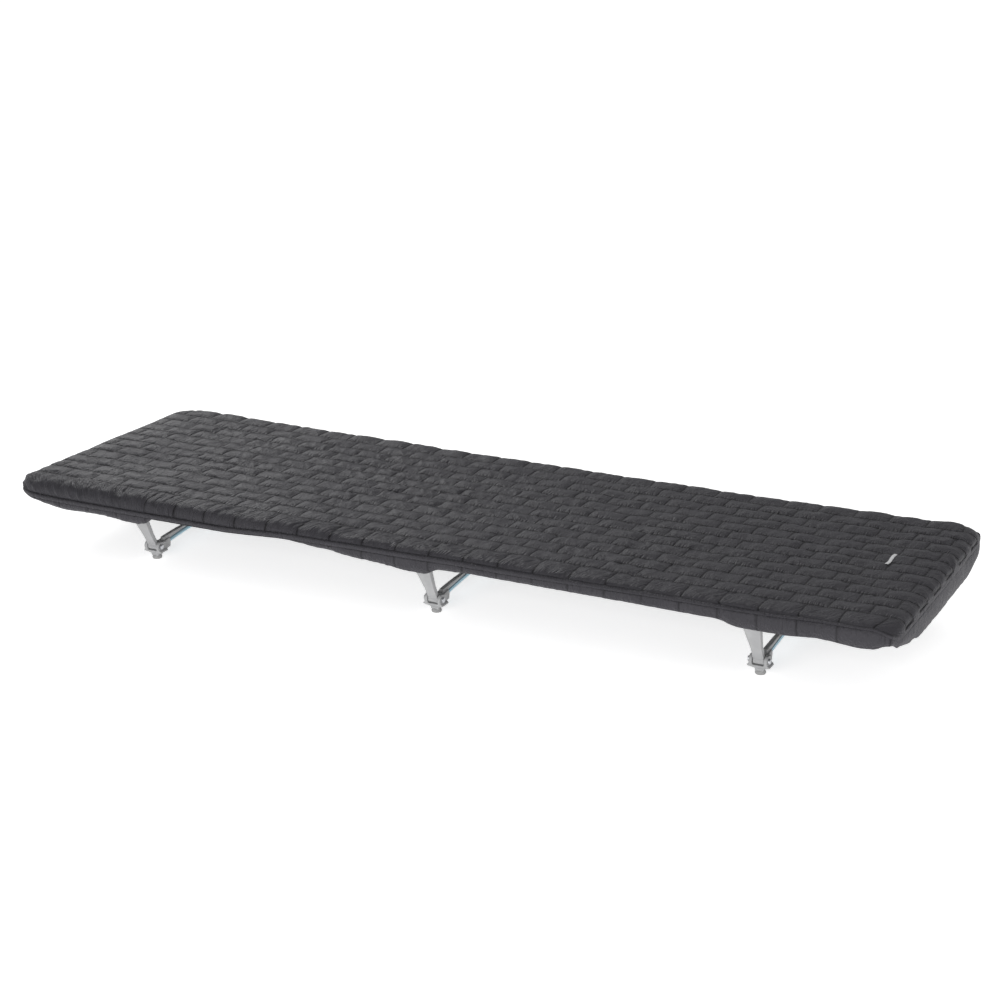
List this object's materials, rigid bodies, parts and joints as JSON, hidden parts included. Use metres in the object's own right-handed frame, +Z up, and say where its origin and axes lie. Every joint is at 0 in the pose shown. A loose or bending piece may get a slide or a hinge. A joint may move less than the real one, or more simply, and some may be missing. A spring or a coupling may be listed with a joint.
{
  "type": "camp quilt",
  "caption": "Padded brick-quilted sleeping cover with an elastic-hemmed skirt, fitted over a low folding camp cot whose Y-shaped lever legs clip to its side rails.",
  "frame": {"origin": "on the ground under the middle of the bed", "axes": "+X along the bed toward the label end, +Y away from the near side, +Z up"},
  "size_m": [1.91, 0.62, 0.1686],
  "materials": {
    "charcoal_nylon": "matt woven nylon with a slight sheen",
    "batting": "lofted polyester fibre",
    "lining_cloth": "plain woven polyester",
    "elastic": "knitted elastic band",
    "label_weave": "blank woven tab",
    "cot_cloth": "plain woven ripstop polyester",
    "anodised_tube": "pale blue satin anodising",
    "grey_moulding": "fine spark-eroded texture",
    "grey_rubber": "matt",
    "steel_pin": "satin"
  },
  "bodies": {
    "cot": {"bed_sling": "cot_cloth", "near_rail_sleeve": "cot_cloth", "far_rail_sleeve": "cot_cloth", "near_rail_left": "anodised_tube", "near_rail_middle": "anodised_tube", "near_rail_right": "anodised_tube", "far_rail_left": "anodised_tube", "far_rail_middle": "anodised_tube", "far_rail_right": "anodised_tube", "near_rail_cap_left": "grey_moulding", "near_rail_cap_right": "grey_moulding", "far_rail_cap_left": "grey_moulding", "far_rail_cap_right": "grey_moulding"},
    "quilt": {"quilt_top_face": "charcoal_nylon", "quilt_insulation": "batting", "quilt_lining": "lining_cloth", "skirt_near": "charcoal_nylon", "skirt_right_end": "charcoal_nylon", "skirt_far": "charcoal_nylon", "skirt_left_end": "charcoal_nylon", "seam_tape": "charcoal_nylon", "hem_binding": "charcoal_nylon", "hem_elastic": "elastic", "label_tab": "label_weave"},
    "left_leg": {"left_leg_near_hub": "grey_moulding", "left_leg_near_foot_pad": "grey_rubber", "left_leg_near_pin": "steel_pin", "left_leg_near_pole": "anodised_tube", "left_leg_far_hub": "grey_moulding", "left_leg_far_foot_pad": "grey_rubber", "left_leg_far_pin": "steel_pin", "left_leg_far_pole": "anodised_tube", "left_leg_ferrule": "anodised_tube"},
    "left_leg_near_lever": {"left_leg_near_arm": "grey_moulding"},
    "left_leg_far_lever": {"left_leg_far_arm": "grey_moulding"},
    "middle_leg": {"middle_leg_near_hub": "grey_moulding", "middle_leg_near_foot_pad": "grey_rubber", "middle_leg_near_pin": "steel_pin", "middle_leg_near_pole": "anodised_tube", "middle_leg_far_hub": "grey_moulding", "middle_leg_far_foot_pad": "grey_rubber", "middle_leg_far_pin": "steel_pin", "middle_leg_far_pole": "anodised_tube", "middle_leg_ferrule": "anodised_tube"},
    "middle_leg_near_lever": {"middle_leg_near_arm": "grey_moulding"},
    "middle_leg_far_lever": {"middle_leg_far_arm": "grey_moulding"},
    "right_leg": {"right_leg_near_hub": "grey_moulding", "right_leg_near_foot_pad": "grey_rubber", "right_leg_near_pin": "steel_pin", "right_leg_near_pole": "anodised_tube", "right_leg_far_hub": "grey_moulding", "right_leg_far_foot_pad": "grey_rubber", "right_leg_far_pin": "steel_pin", "right_leg_far_pole": "anodised_tube", "right_leg_ferrule": "anodised_tube"},
    "right_leg_near_lever": {"right_leg_near_arm": "grey_moulding"},
    "right_leg_far_lever": {"right_leg_far_arm": "grey_moulding"}
  },
  "joints": [
    {"name": "quilt_lift", "type": "slide", "parent": "cot", "child": "quilt", "axis": [0, 0, 1], "range_m": [0, 0.22]},
    {"name": "left_leg_drop", "type": "slide", "parent": "cot", "child": "left_leg", "axis": [0, 0, -1], "range_m": [0, 0.1]},
    {"name": "left_leg_near_arm_swing", "type": "hinge", "parent": "left_leg", "child": "left_leg_near_lever", "pos_m": [-0.6685, -0.222, 0.03], "axis": [-1, 0, 0], "range_deg": [0, 30]},
    {"name": "left_leg_far_arm_swing", "type": "hinge", "parent": "left_leg", "child": "left_leg_far_lever", "pos_m": [-0.6685, 0.222, 0.03], "axis": [1, 0, 0], "range_deg": [0, 30]},
    {"name": "middle_leg_drop", "type": "slide", "parent": "cot", "child": "middle_leg", "axis": [0, 0, -1], "range_m": [0, 0.1]},
    {"name": "middle_leg_near_arm_swing", "type": "hinge", "parent": "middle_leg", "child": "middle_leg_near_lever", "pos_m": [0.009, -0.222, 0.03], "axis": [-1, 0, 0], "range_deg": [0, 30]},
    {"name": "middle_leg_far_arm_swing", "type": "hinge", "parent": "middle_leg", "child": "middle_leg_far_lever", "pos_m": [0.009, 0.222, 0.03], "axis": [1, 0, 0], "range_deg": [0, 30]},
    {"name": "right_leg_drop", "type": "slide", "parent": "cot", "child": "right_leg", "axis": [0, 0, -1], "range_m": [0, 0.1]},
    {"name": "right_leg_near_arm_swing", "type": "hinge", "parent": "right_leg", "child": "right_leg_near_lever", "pos_m": [0.6865, -0.222, 0.03], "axis": [-1, 0, 0], "range_deg": [0, 30]},
    {"name": "right_leg_far_arm_swing", "type": "hinge", "parent": "right_leg", "child": "right_leg_far_lever", "pos_m": [0.6865, 0.222, 0.03], "axis": [1, 0, 0], "range_deg": [0, 30]}
  ],
  "couplings": [
    {"joint": "left_leg_near_arm_swing", "follows": "left_leg_drop", "rad_per_m": 5},
    {"joint": "left_leg_far_arm_swing", "follows": "left_leg_drop", "rad_per_m": 5},
    {"joint": "middle_leg_near_arm_swing", "follows": "middle_leg_drop", "rad_per_m": 5},
    {"joint": "middle_leg_far_arm_swing", "follows": "middle_leg_drop", "rad_per_m": 5},
    {"joint": "right_leg_near_arm_swing", "follows": "right_leg_drop", "rad_per_m": 5},
    {"joint": "right_leg_far_arm_swing", "follows": "right_leg_drop", "rad_per_m": 5}
  ]
}
